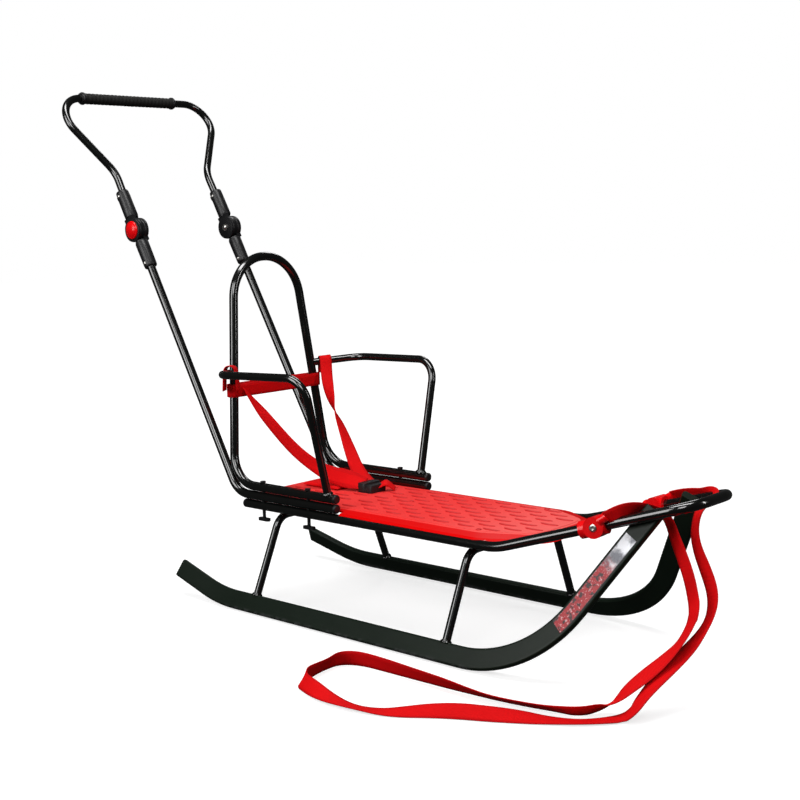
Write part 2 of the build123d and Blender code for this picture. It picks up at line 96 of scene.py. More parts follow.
# %% A value in a finish
class Shade:
    """One output socket of a finish. Sums, products and comparisons of shades add Math nodes."""

    def __init__(self, tree, socket):
        self.tree = tree
        self.socket = socket

    @classmethod
    def node(cls, tree, kind, settings, inputs, output=0):
        """Add a node: its settings first, then the values or links of its sockets."""
        made = tree.nodes.new("ShaderNode" + kind)
        for name, value in settings.items():
            setattr(made, name, value)
        for name, value in inputs.items():
            if isinstance(value, Shade):
                tree.links.new(value.socket, made.inputs[name])
            else:
                made.inputs[name].default_value = value
        return cls(tree, made.outputs[output])

    def other(self, output):
        """Another output of the same node."""
        return Shade(self.tree, self.socket.node.outputs[output])

    def math(self, operation, first, second=0.0):
        return Shade.node(self.tree, "Math", {"operation": operation}, {0: first, 1: second})

    def __add__(self, value):
        return self.math("ADD", self, value)

    def __radd__(self, value):
        return self.math("ADD", value, self)

    def __sub__(self, value):
        return self.math("SUBTRACT", self, value)

    def __rsub__(self, value):
        return self.math("SUBTRACT", value, self)

    def __mul__(self, value):
        return self.math("MULTIPLY", self, value)

    def __rmul__(self, value):
        return self.math("MULTIPLY", value, self)

    def __gt__(self, value):
        return self.math("GREATER_THAN", self, value)

    def __abs__(self):
        return self.math("ABSOLUTE", self)

    def waves(self, pitch):
        """A sine from 0 to 1 that comes back after each pitch."""
        return 0.5 + 0.5 * self.math("SINE", self * (tau / pitch))

    def fade(self, low, high):
        """0 below low, 1 above high, smooth between."""
        return Shade.node(
            self.tree, "MapRange", {"interpolation_type": "SMOOTHSTEP"},
            {"Value": self, "From Min": low, "From Max": high},
        )


print("shade formulas ready")

# %% [markdown]
# ## A whole finish
# A finish is one Principled shader with patterns on a few of its sockets. The patterns could be
# pictures wrapped round each mesh. Noise in the piece's own coordinates needs no picture and no
# unwrapping, and keeps its size in metres.


# %% A finish and its patterns
class Finish:
    """A material being written: its coordinates, textures and the shader's own sockets."""

    def __init__(self, name, colour, roughness, **constants):
        self.material = bpy.data.materials.new(name)
        self.material.use_nodes = True
        self.tree = self.material.node_tree
        self.shader = self.tree.nodes["Principled BSDF"]
        self.shader.inputs["Base Color"].default_value = (*colour, 1)
        self.shader.inputs["Roughness"].default_value = roughness
        for constant, value in constants.items():
            socket = constant.replace("_", " ").title().replace("Ior", "IOR")
            self.shader.inputs[socket].default_value = value
        self.place = Shade.node(self.tree, "TexCoord", {}, {}, "Object")

    def axes(self, place=None):
        """The X, Y and Z of a place, in metres."""
        x = Shade.node(self.tree, "SeparateXYZ", {}, {0: place or self.place})
        return x, x.other("Y"), x.other("Z")

    def along_web(self):
        """Metres along and across a strap, from its own map."""
        return self.axes(Shade.node(self.tree, "UVMap", {"uv_map": "web"}, {}))[:2]

    def speckle(self, scale, detail=3.0, roughness=0.55, place=None):
        """Soft random patches, 0 to 1, scale of them to a metre."""
        return Shade.node(
            self.tree, "TexNoise", {},
            {"Vector": place or self.place, "Scale": scale, "Detail": detail, "Roughness": roughness},
        )

    def stretched(self, x, y, z):
        """The coordinates scaled along each axis, for grain that runs one way."""
        return Shade.node(
            self.tree, "VectorMath", {"operation": "MULTIPLY"}, {0: self.place, 1: (x, y, z)},
        )

    def mix(self, first, second, share):
        """A colour between two, by a shade from 0 to 1."""
        first = first if isinstance(first, Shade) else (*first, 1)
        second = second if isinstance(second, Shade) else (*second, 1)
        return Shade.node(
            self.tree, "Mix", {"data_type": "RGBA"}, {0: share, 6: first, 7: second}, 2,
        )

    def feed(self, socket, value):
        """Let a shade drive one of the shader's sockets."""
        self.tree.links.new(value.socket, self.shader.inputs[socket])

    def relief(self, height, depth):
        """Bump whose height, 0 to 1, stands for a depth in millimetres."""
        self.feed("Normal", Shade.node(
            self.tree, "Bump", {}, {"Height": height, "Distance": depth * MM, "Strength": 1.0},
        ))


print("finish maker ready")

# %% [markdown]
# ## Gloss paint
# The tubes carry a gloss black powder coat with a faint orange peel. A plain glossy black would do
# from afar. A clear coat over a slightly rougher base gives each highlight a bright core with a soft
# edge, as on the real tubes.

# %% Gloss paint of the tubes
gloss_paint = Finish(
    "gloss_black_paint", (0.002, 0.0024, 0.0022), 0.18,
    specular_ior_level=0.55, coat_weight=0.8, coat_roughness=0.08,
)
peel = gloss_paint.speckle(120, 1.0)
gloss_paint.feed("Base Color", gloss_paint.mix(
    (0.0012, 0.0015, 0.0013), (0.003, 0.0034, 0.003), gloss_paint.speckle(35)))
gloss_paint.feed("Roughness", 0.17 + 0.02 * gloss_paint.speckle(60))
gloss_paint.relief(peel, 0.002)
print("gloss paint made")

# %% [markdown]
# ## Satin paint and charcoal plastic
# The flat runners are a softer, greenish black, with fine drawing lines along X and dull wear near
# the sole. Noise stretched along X gives the lines, and a fade on height keeps the wear low. The
# mouldings are charcoal with a fine grain, which is noise at a very small scale.

# %% Satin paint of the runners
WEAR_LOW, WEAR_HIGH = 0.003, 0.012      # metres above the ground
satin_paint = Finish("satin_runner_paint", (0.006, 0.010, 0.007), 0.38, specular_ior_level=0.22)
run_z = satin_paint.axes()[2]
drawn = satin_paint.speckle(1, 3.0, 0.6, satin_paint.stretched(12, 700, 700))
worn = (1 - run_z.fade(WEAR_LOW, WEAR_HIGH)) * satin_paint.speckle(90, 4.0).fade(0.42, 0.62)
coat = satin_paint.mix((0.003, 0.0068, 0.0036), (0.0065, 0.0125, 0.0072), satin_paint.speckle(22))
satin_paint.feed("Base Color", satin_paint.mix(coat, (0.05, 0.05, 0.052), worn))
satin_paint.feed("Roughness", 0.3 + 0.16 * drawn + 0.15 * worn)
satin_paint.relief(drawn, 0.05)
print("satin paint made")

# %% Charcoal plastic, and black on the CAD pieces
charcoal = Finish("charcoal_moulding", (0.007, 0.007, 0.0075), 0.4, specular_ior_level=0.38)
grain = charcoal.speckle(1500, 2.0)
charcoal.feed("Base Color", charcoal.mix(
    (0.005, 0.005, 0.0055), (0.010, 0.010, 0.011), charcoal.speckle(70)))
charcoal.feed("Roughness", 0.34 + 0.08 * grain)
charcoal.relief(grain, 0.008)
MOULDED = ("knuckle", "rail_end", "push_tube_end", "backrest_end", "clamp")
for name, node in nodes.items():
    if name.startswith("runner"):
        finish = satin_paint
    elif name.startswith(MOULDED):
        finish = charcoal
    else:
        finish = gloss_paint
    node.data.materials.clear()
    node.data.materials.append(finish.material)
print("black finishes on", len(nodes), "CAD pieces for a start")

# %% [markdown]
# ## Red mouldings
# The seat is one red moulding with two surfaces: a smooth saturated border that slopes over the
# rails, and a matt top with a fine pebble, whose paler red is painted sheen, paler still towards
# the front. Two materials would need a cut in the mesh. The change sits at the top of the slope,
# so a test on height separates them in one. Clips and buttons are a glossier red.

# %% Seat plastic
SEAT_TOP = 0.1957                       # metres, where the flat top starts
SHEEN_START, SHEEN_FULL = 0.14, 0.42      # metres along the seat, where the top gets paler
seat_red = Finish("seat_red", (0.66, 0.003, 0.004), 0.4, specular_ior_level=0.05)
seat_x, _, seat_z = seat_red.axes()
on_top = seat_z > SEAT_TOP
pebble = seat_red.speckle(900, 2.0)
cloudy = seat_red.speckle(14, 2.0)
border = seat_red.mix((0.6, 0.001, 0.0012), (0.68, 0.0014, 0.0016), cloudy)
# Painted sheen: the top's red is paler than the border's, and the next line paints more sheen towards the
# front
top = seat_red.mix((0.76, 0.032, 0.03), (0.82, 0.048, 0.045), cloudy)
top = seat_red.mix(top, (0.84, 0.125, 0.115), 0.95 * seat_x.fade(SHEEN_START, SHEEN_FULL))
seat_red.feed("Base Color", seat_red.mix(border, top, on_top))
seat_red.feed("Roughness", 0.34 + 0.2 * on_top + 0.1 * pebble)
seat_red.relief(pebble * on_top, 0.25)
nodes["seat_pan"].data.materials[0] = seat_red.material
print("seat plastic on the seat pan")

# %% Clip and button plastic
clip_red = Finish(
    "gloss_red_moulding", (0.68, 0.003, 0.006), 0.25,
    specular_ior_level=0.3, coat_weight=0.12, coat_roughness=0.08,
)
clip_red.feed("Base Color", clip_red.mix((0.7, 0.001, 0.003), (0.8, 0.002, 0.004), clip_red.speckle(60)))
clip_red.feed("Roughness", 0.2 + 0.12 * clip_red.speckle(240))
clip_red.relief(clip_red.speckle(300, 1.0), 0.01)
for name in ("tow_clip_left", "tow_clip_right"):
    nodes[name].data.materials[0] = clip_red.material
print("gloss red on two tow clips")

# %% [markdown]
# ## Webbing, foam and zinc
# Webbing is woven: fine ribs cross the strap and a twill line climbs over them, with a firmer edge
# cord at each side. Modelled threads would be far too heavy. Sine waves on the strap's own map,
# metres along and metres across, keep the weave's size at every bend. Foam and zinc are noise.

# %% Webbing
WEB_RIB, WEB_TWILL, WEB_THREAD = 0.0021, 0.0042, 0.0016     # metres
EDGE_START, EDGE_FULL = 0.0088, 0.0098                      # metres from the strap's middle
web_red = Finish("red_webbing", (0.66, 0.002, 0.004), 0.6, specular_ior_level=0.1)
along, across = web_red.along_web()
rib = (along + across * (WEB_RIB / WEB_TWILL)).waves(WEB_RIB)
thread = across.waves(WEB_THREAD)
weave = rib * 0.65 + thread * 0.35
selvedge = abs(across).fade(EDGE_START, EDGE_FULL)
yarn = web_red.mix((0.56, 0.0008, 0.002), (0.80, 0.0025, 0.004), weave)
faded = web_red.mix(yarn, (0.48, 0.001, 0.003), 0.5 * selvedge + 0.25 * web_red.speckle(45))
web_red.feed("Base Color", faded)
web_red.feed("Roughness", 0.62 + 0.18 * thread)
web_red.relief(weave, 0.4)
print("webbing made")

# %% Foam and zinc
foam = Finish("grip_foam", (0.008, 0.008, 0.008), 0.7, specular_ior_level=0.3)
cells = foam.speckle(1100, 3.0)
foam.feed("Base Color", foam.mix((0.005, 0.005, 0.0045), (0.014, 0.014, 0.0125), foam.speckle(120)))
foam.feed("Roughness", 0.55 + 0.25 * cells)
foam.relief(cells, 0.4)

zinc = Finish("bright_zinc", (0.62, 0.6, 0.57), 0.3, metallic=1.0)
zinc.feed("Base Color", zinc.mix((0.5, 0.49, 0.47), (0.74, 0.72, 0.68), zinc.speckle(160)))
zinc.feed("Roughness", 0.22 + 0.2 * zinc.speckle(500))
for name in ("hinge_pin_left", "hinge_pin_right"):
    nodes[name].data.materials[0] = zinc.material
print("foam made, zinc on two hinge pins")

# %% [markdown]
# ## Webbing as a ribbon
# A strap is a thin band with a face and two edges. A curve with a bevel could make it, but gives
# little say over its twist. Here its route is a short table of places and, at each, the way its
# width runs. Smooth NURBS lines carry the route and the twist. The band along them gets a real
# thickness, rounded edges and its own map.


# %% Smooth lines, and showing a piece
def smooth_line(points, steps):
    """Points along a smooth NURBS line that has the given control points."""
    curve = bpy.data.curves.new("line", "CURVE")
    curve.dimensions = "3D"
    curve.resolution_u = steps
    spline = curve.splines.new("NURBS")
    spline.points.add(len(points) - 1)
    for control, point in zip(spline.points, points):
        control.co = (*point, 1)
    spline.order_u = 3
    spline.use_endpoint_u = True
    holder = bpy.data.objects.new("line", curve)
    mesh = bpy.data.meshes.new_from_object(holder)
    line = [v.co.copy() for v in mesh.vertices]
    bpy.data.objects.remove(holder)
    bpy.data.curves.remove(curve)
    bpy.data.meshes.remove(mesh)
    return line


def add_piece(name, mesh, finish, body):
    """Show a mesh as a piece of the sled that rides on a body."""
    piece = bpy.data.objects.new(name, mesh)
    bpy.context.collection.objects.link(piece)
    mesh.materials.append(finish.material)
    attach(piece, body)
    return piece


print("smooth lines ready")

# %% Ribbons
# Ribbon section: share of the half width across, share of the thickness out
RIBBON_SECTION = (
    (-1.0, 0.0), (-0.95, 0.5), (-0.5, 0.5), (0.0, 0.5), (0.5, 0.5), (0.95, 0.5),
    (1.0, 0.0), (0.95, -0.5), (0.5, -0.5), (0.0, -0.5), (-0.5, -0.5), (-0.95, -0.5),
)
EDGE_REACH = 0.01       # metres from the route to the line that carries its twist


def ribbon_rings(shape, route, steps, thickness):
    """Rings of corners along a ribbon, with its run and half width at each, and its middle line."""
    middle = smooth_line([place for place, _, _ in route], steps)
    edges = smooth_line([place + wide * EDGE_REACH for place, wide, _ in route], steps)
    widths = smooth_line([Vector((width, 0, 0)) for _, _, width in route], steps)
    rings, run = [], 0.0
    for index, place in enumerate(middle):
        before = middle[max(index - 1, 0)]
        after = middle[min(index + 1, len(middle) - 1)]
        way = (after - before).normalized()
        wide = edges[index] - place
        wide = (wide - way * wide.dot(way)).normalized()
        out = way.cross(wide)
        half = widths[index].x / 2
        run += (place - before).length
        corners = [
            shape.verts.new(place + wide * (half * a) + out * (thickness * b)) for a, b in RIBBON_SECTION
        ]
        rings.append((corners, run, half))
    return rings, middle


def ribbon_mesh(name, route, steps, thickness):
    """A woven band along rows of place, width direction and width."""
    shape = bmesh.new()
    web_map = shape.loops.layers.uv.new("web")
    rings, middle = ribbon_rings(shape, route, steps, thickness)
    count = len(RIBBON_SECTION)
    for (low, low_run, half), (high, high_run, _) in zip(rings, rings[1:]):
        for corner in range(count):
            step = (corner + 1) % count
            face = shape.faces.new((low[corner], high[corner], high[step], low[step]))
            face.smooth = True
            spots = ((low_run, corner), (high_run, corner), (high_run, step), (low_run, step))
            for loop, (length, spot) in zip(face.loops, spots):
                loop[web_map].uv = (length, RIBBON_SECTION[spot][0] * half)
    shape.faces.new(rings[0][0])
    shape.faces.new(list(reversed(rings[-1][0])))
    bmesh.ops.recalc_face_normals(shape, faces=shape.faces)
    mesh = bpy.data.meshes.new(name)
    shape.to_mesh(mesh)
    shape.free()
    return mesh, middle


print("ribbon maker ready")

# %% [markdown]
# ## Tow strap
# One loop of webbing, about two metres long, leaves one clip, humps over the nose tube, hangs, runs
# along the ground, turns and comes back up to the other clip. A rope simulation could drop it, but
# would not lie where this one lies. So its route follows the CAD strap's points, and each row says
# by how many degrees the strap is turned about its own line there, flat to the viewer at zero. The
# route is lifted where a turned strap would dip into the ground.

# %% Tow strap
WEB_WIDE = 25.0 * MM
WEB_THICK = 1.6 * MM
GROUND_ROOM = 1.2 * MM
TO_VIEWER = Vector((0.74, -0.67, 0.0))
# x, y, z on the drawing, and how far the face is turned from the viewer, in degrees
tow_rows = (
    (699, -94, 247, 17), (711, -90, 254, 6), (721, -71, 260, 25), (735, -44, 260, 58), (748, -26, 252, 67),
    (756, -18, 239, 70), (770, -22, 211, 65), (783, -23, 184, 62), (800, -34, 159, 67), (816, -51, 136, 78),
    (830, -73, 126, 83), (827, -78, 108, 92), (830, -109, 92, 100), (819, -132, 72, 80),
    (808, -159, 56, 68), (796, -183, 41, 76), (785, -199, 26, 95), (762, -204, 10, 135),
    (747, -239, 11, 141), (709, -247, 9, 128), (669, -255, 8, 125), (618, -262, 8, 123),
    (577, -264, 10, 130), (532, -265, 12, 145), (475, -265, 13, 155), (408, -263, 13, 168),
    (357, -265, 14, 172), (331, -283, 13, 166), (335, -314, 12, 152), (339, -340, 12, 160),
    (346, -366, 13, 174), (357, -387, 13, 174), (379, -394, 12, 150), (421, -403, 8, 112),
    (458, -404, 5, 86), (489, -400, 4, 80), (521, -389, 3, 91), (548, -375, 5, 106), (579, -354, 8, 122),
    (614, -335, 10, 134), (654, -315, 9, 130), (689, -294, 7, 117), (721, -273, 3, 94), (756, -253, 3, 83),
    (781, -228, 3, 86), (796, -205, 3, 89), (814, -205, 18, 92), (817, -190, 31, 97), (822, -162, 48, 108),
    (828, -131, 63, 114), (836, -100, 80, 107), (840, -73, 97, 90), (841, -50, 113, 86),
    (837, -33, 130, 99), (827, -19, 148, 113), (811, -10, 172, 118), (796, -4, 195, 109),
    (788, 0, 217, 100), (787, 6, 238, 92), (789, 14, 254, 89), (798, 31, 262, 78), (791, 54, 267, 30),
    (766, 76, 262, 0), (738, 88, 257, -20), (715, 92, 254, -32), (699, 94, 248, -22),
)


def turned_route(rows, width):
    """Route rows whose face is turned from the viewer, kept clear of the ground."""
    places = [at(x, y, z) for x, y, z, _ in rows]
    route = []
    flat = None
    for index, place in enumerate(places):
        way = (places[min(index + 1, len(places) - 1)] - places[max(index - 1, 0)]).normalized()
        wide = way.cross(TO_VIEWER).normalized()
        if flat and wide.dot(flat) < 0:
            wide = -wide
        flat = wide.copy()
        wide.rotate(Matrix.Rotation(radians(rows[index][3]), 3, way))
        lift = max(place.z, width / 2 * abs(wide.z) + GROUND_ROOM)
        route.append((Vector((place.x, place.y, lift)), wide, width))
    return route


tow_route = turned_route(tow_rows, WEB_WIDE)
tow_mesh, tow_line = ribbon_mesh("tow_strap_web", tow_route, 10, WEB_THICK)
tow_strap = add_piece("tow_strap_web", tow_mesh, web_red, "sled")
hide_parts("tow_strap")
tow_length = sum((b - a).length for a, b in zip(tow_line, tow_line[1:]))
print("tow strap", round(tow_length, 3), "m long")

# %% [markdown]
# ## Turned and cut shapes
# Buttons, screws, rivets and the grip are turned: a short profile spun about an axis. Lugs, tread
# bars and the buckle are cut: an outline raised to a plate with its upper edge eased. Modifiers could
# do both, one object at a time. These functions add to one open mesh instead, so a row of like
# fittings becomes one piece.


# %% Spinning profiles
def wall_faces(shape, rings):
    """Join rings of corners by smooth faces and close both ends."""
    for low, high in zip(rings, rings[1:]):
        for corner in range(len(low)):
            after = (corner + 1) % len(low)
            shape.faces.new((low[corner], low[after], high[after], high[corner])).smooth = True
    shape.faces.new(list(reversed(rings[0])))
    shape.faces.new(rings[-1])


def spin(shape, profile, origin, axis, turns=32, ripple=None):
    """Spin rows of (along, radius), in millimetres, about an axis."""
    axis = axis.normalized()
    side = axis.orthogonal().normalized()
    across = axis.cross(side)
    rings = []
    for step, radius in profile:
        ring = []
        for turn in range(turns):
            angle = tau * turn / turns
            reach = radius + (ripple(step, angle) if ripple else 0.0)
            out = side * cos(angle) + across * sin(angle)
            ring.append(shape.verts.new(origin + axis * (step * MM) + out * (reach * MM)))
        rings.append(ring)
    wall_faces(shape, rings)


print("spinning ready")


# %% Raising outlines, and showing a shape
def raise_plate(shape, outline, origin, x_way, y_way, height, ease):
    """Raise an outline in millimetres to a plate, its upper edge eased inward."""
    up = x_way.cross(y_way).normalized()
    middle = sum((Vector(spot) for spot in outline), Vector((0, 0))) / len(outline)
    reach = sum((Vector(spot) - middle).length for spot in outline) / len(outline)
    levels = (
        (0.0, 1.0), (height - ease, 1.0),
        (height - ease * 0.3, 1 - ease * 0.3 / reach), (height, 1 - ease / reach),
    )
    rings = []
    for level, share in levels:
        spots = [middle + (Vector(spot) - middle) * share for spot in outline]
        rings.append([
            shape.verts.new(origin + (x_way * u + y_way * v + up * level) * MM) for u, v in spots
        ])
    wall_faces(shape, rings)


def rounded(width, depth, radius, steps=5):
    """The outline of a rectangle with round corners, in millimetres."""
    outline = []
    corners = ((1, 1, 0), (-1, 1, 90), (-1, -1, 180), (1, -1, 270))
    for x_side, y_side, start in corners:
        for step in range(steps + 1):
            angle = radians(start + 90 * step / steps)
            outline.append((
                x_side * (width / 2 - radius) + radius * cos(angle),
                y_side * (depth / 2 - radius) + radius * sin(angle),
            ))
    return outline


def show(name, shape, finish, body, crease=38):
    """Close an open mesh and show it as a piece, sharp at edges past the crease in degrees."""
    bmesh.ops.recalc_face_normals(shape, faces=shape.faces)
    mesh = bpy.data.meshes.new(name)
    shape.to_mesh(mesh)
    shape.free()
    mesh.set_sharp_from_angle(angle=radians(crease))
    return add_piece(name, mesh, finish, body)


ALONG = Vector((1, 0, 0))
LEFT = Vector((0, 1, 0))
UP = Vector((0, 0, 1))
SIDES = (("left", 1), ("right", -1))
print("raising ready")

# %% [markdown]
# ## Harness band
# A band of webbing goes round both uprights of the backrest, pulled tight across the front and
# lapped behind. Shrink-wrapping a band onto the tubes is possible. A table of places round the two
# posts is shorter, and its width stands upright all the way.

# %% Band round the uprights
BAND_Z = sum(corner[2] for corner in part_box("harness_band")) / 2 / MM
BAND_WIDE, BAND_THICK = 24 * MM, 1.7 * MM
POST_HALF, POST_X, POST_OUT = 100.7, -100.0, 10.6
# x from the posts' middle, y
band_rows = (
    (-POST_OUT - 0.9, 24), (-POST_OUT - 0.9, -POST_HALF + 4), (-POST_OUT, -POST_HALF - 9),
    (0, -POST_HALF - 12.5), (POST_OUT, -POST_HALF - 8), (POST_OUT, -POST_HALF + 8),
    (POST_OUT + 1.5, -40), (POST_OUT + 2.5, 0), (POST_OUT + 1.5, 40),
    (POST_OUT, POST_HALF - 8), (POST_OUT, POST_HALF + 8), (0, POST_HALF + 12.5),
    (-POST_OUT, POST_HALF + 9), (-POST_OUT, POST_HALF - 8), (-POST_OUT, 0), (-POST_OUT, -26),
)
band_route = [(at(POST_X + x, y, BAND_Z), UP, BAND_WIDE) for x, y in band_rows]
band_mesh, _ = ribbon_mesh("harness_band_web", band_route, 8, BAND_THICK)
band = add_piece("harness_band_web", band_mesh, web_red, "sled")
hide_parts("harness_band")
print("band at", round(BAND_Z), "mm")

# %% [markdown]
# ## Harness straps
# On each side a strap hangs by the upright, and the left one goes over its armrest. The left strap
# twists once on its way down. The right one widens as it leans on the seat. Cloth could fall into
# such folds only by chance, so each row gives a place, the way the width runs and the width.

# %% Straps
STRAP_THICK = 1.8 * MM
TO_RIGHT = Vector((0.74, 0.67, 0))
INWARD = Vector((-0.67, 0.74, 0))
ARM_X, ARM_Y, ARM_DROP = 0.558, 0.826, 0.07     # the way of an armrest's rear end
ARM_WAY = Vector((-ARM_X, -ARM_Y, -ARM_DROP))
# x, y, z on the drawing, the way of the width, and the width in millimetres
left_rows = (
    (-97, 126, 392, -TO_RIGHT, 22), (-96, 125, 408, ARM_WAY, 22), (-94, 124, 423, ARM_WAY, 23),
    (-86, 119, 427, ARM_WAY, 23), (-77, 113, 424, ARM_WAY, 23), (-74, 111, 408, ARM_WAY, 23),
    (-66, 104, 385, ARM_WAY + INWARD * 0.1, 22), (-52, 96, 357, INWARD * 0.6 - TO_RIGHT * 0.9, 21),
    (-32, 89, 326, INWARD - TO_RIGHT * 0.1, 20), (-8, 82, 297, TO_RIGHT * 0.7 + INWARD, 21),
    (22, 72, 256, TO_RIGHT + INWARD * 0.2, 23), (50, 61, 224, TO_RIGHT, 26), (75, 53, 211, TO_RIGHT, 30),
    (100, 48, 207, LEFT, 26),
)
right_rows = (
    (-88, -88, 386, INWARD, 13), (-82, -84, 374, INWARD + UP * 0.3, 14),
    (-48, -59, 318, UP + TO_RIGHT * 0.8, 20), (-16, -33, 268, UP + TO_RIGHT * 0.9, 22),
    (12, -10, 238, UP + TO_RIGHT * 0.8, 24), (36, 6, 223, UP + INWARD * 0.3, 30),
    (66, 17, 217, UP + INWARD * 0.4, 36), (100, 27, 210, UP * 0.6 + LEFT, 28),
)
for side_name, rows in (("left", left_rows), ("right", right_rows)):
    route = [(at(x, y, z), wide, width * MM) for x, y, z, wide, width in rows]
    strap_mesh, _ = ribbon_mesh(f"harness_web_{side_name}", route, 12, STRAP_THICK)
    strap = add_piece(f"harness_web_{side_name}", strap_mesh, web_red, "sled")
    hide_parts(f"harness_strap_{side_name}")
print("two harness straps made")

# %% Loop over the right armrest
LOOP_X, LOOP_Y, LOOP_WIDE = -88.5, -117, 23 * MM
LOOP_WAY = Vector((-ARM_X, ARM_Y, -ARM_DROP))
# Out from the armrest's middle, and height
loop_rows = (
    (-13, 384), (-12, 400), (-11, 418), (-8, 427), (0, 430), (8, 427), (11, 418), (12, 400), (13, 384),
)
loop_route = [
    (at(LOOP_X + ARM_Y * out, LOOP_Y + ARM_X * out, z), LOOP_WAY, LOOP_WIDE) for out, z in loop_rows
]
loop_mesh, _ = ribbon_mesh("harness_loop_right", loop_route, 10, STRAP_THICK)
add_piece("harness_loop_right", loop_mesh, web_red, "sled")
print("loop over the right armrest made")

# %% [markdown]
# ## Pad
# The pad under the straps is a small stuffed cushion. A cloth simulation under pressure is the usual
# way to fill one. This pad is thin and mostly covered, so a grid is enough: its height follows a
# rounded crown, its sides pull in between the corners, two sewn lines cross it, and it is pressed
# flat where it rests on the seat.

# %% Seat pad
pad_low, pad_high = (Vector(corner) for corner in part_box("harness_pad"))
pad_middle = (pad_low + pad_high) / 2
pad_half = (pad_high - pad_low) / 2
PAD_CELLS = 36
PAD_EDGE, PAD_CROWN, PAD_BELLY = 3.2 * MM, 5.6 * MM, 3.0 * MM
SEAM_AT, SEAM_WIDE, SEAM_SHARE = 0.42, 0.07, 0.22
PULL_IN, UNEVEN = 0.05, 0.05


def pad_place(i, j, lift):
    """A place on the pad's upper skin, or on its lower one where lift is negative."""
    u, v = 2 * i / PAD_CELLS - 1, 2 * j / PAD_CELLS - 1
    crown = max(0.0, (1 - u ** 6) * (1 - v ** 6)) ** 0.45
    seam = min(abs(abs(u) - SEAM_AT) / SEAM_WIDE, 1.0)
    height = crown * (1 - SEAM_SHARE + SEAM_SHARE * seam)
    height += UNEVEN * noise.noise(Vector((u * 3, v * 3, 4.0))) * crown
    pull = 1 - PULL_IN * (1 - u * u) * abs(v) - PULL_IN * (1 - v * v) * abs(u)
    rise = PAD_EDGE + (PAD_CROWN * height if lift > 0 else -PAD_BELLY * crown)
    x = pad_middle.x + u * pad_half.x * pull
    y = pad_middle.y + v * pad_half.y * pull
    return Vector((x, y, pad_low.z + rise))


shape = bmesh.new()
spots = range(PAD_CELLS + 1)
for lift in (1, -1):
    skin = [[shape.verts.new(pad_place(i, j, lift)) for j in spots] for i in spots]
    for near, far in zip(skin, skin[1:]):
        for j in range(PAD_CELLS):
            shape.faces.new((near[j], far[j], far[j + 1], near[j + 1])).smooth = True
bmesh.ops.remove_doubles(shape, verts=shape.verts, dist=0.05 * MM)
print("pad", [round(v * 2 / MM) for v in pad_half], "mm")

# %% Cloth of the pad
PAD_THREAD = 0.0012     # metres
cushion = Finish("pad_cloth", (0.64, 0.002, 0.004), 0.75, specular_ior_level=0.1)
pad_x, pad_y, _ = cushion.axes()
plain_weave = pad_x.waves(PAD_THREAD) * 0.5 + pad_y.waves(PAD_THREAD) * 0.5
cushion.feed("Base Color", cushion.mix(
    (0.54, 0.001, 0.002), (0.76, 0.003, 0.005), plain_weave * 0.7 + 0.3 * cushion.speckle(60)))
cushion.feed("Roughness", 0.68 + 0.15 * plain_weave)
cushion.relief(plain_weave, 0.3)
pad = show("seat_pad", shape, cushion, "sled", 80)
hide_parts("harness_pad")
print("pad shown with its cloth")

# %% [markdown]
# ## Buckle
# A black side-release buckle joins the straps: a socket, a plug with two prongs, and small ribs for
# the thumb. One box with bevels would look like a block, so each of its seven parts is a plate with
# eased edges, from one table. A short tail of webbing leaves its front.

# %% Buckle and tail
BUCKLE_AHEAD, BUCKLE_LEFT = 7 * MM, 3 * MM
buckle_low, buckle_high = (Vector(corner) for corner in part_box("harness_buckle"))
buckle_middle = (buckle_low + buckle_high) / 2
buckle_seat = Vector((buckle_middle.x + BUCKLE_AHEAD, buckle_middle.y + BUCKLE_LEFT, buckle_low.z))
# Width, depth and corner radius, place on the buckle (x, y, z), height and eased edge
buckle_plates = (
    (18, 42, 3.0, -6, 0, 0, 17, 1.6),
    (16, 40, 2.5, 10, 0, 0, 14, 1.4),
    (12, 5.5, 2.4, 3, 17.5, 2, 6.5, 1.4),
    (12, 5.5, 2.4, 3, -17.5, 2, 6.5, 1.4),
    (1.4, 26, 0.6, -11.5, 0, 16.8, 0.9, 0.4),
    (1.4, 26, 0.6, -8.5, 0, 16.8, 0.9, 0.4),
    (5, 12, 1.8, -3, 0, 16.8, 1.0, 0.5),
)
shape = bmesh.new()
for width, depth, corner, x, y, z, height, ease in buckle_plates:
    foot = buckle_seat + Vector((x, y, z)) * MM
    raise_plate(shape, rounded(width, depth, corner), foot, ALONG, LEFT, height, ease)
buckle = show("buckle", shape, charcoal, "sled")
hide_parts("harness_buckle")
TAIL_WAY = Vector((-0.6, 0.75, 0.25))
tail_rows = (
    (119, 40, 204, 16), (126, 44, 209, 22), (132, 49, 213, 24), (137, 55, 208, 22), (143, 61, 200, 18),
)
tail_route = [(at(x, y, z), TAIL_WAY, width * MM) for x, y, z, width in tail_rows]
tail_mesh, _ = ribbon_mesh("buckle_tail", tail_route, 10, STRAP_THICK)
add_piece("buckle_tail", tail_mesh, web_red, "sled")
print("buckle of", len(buckle_plates), "plates and its tail made")
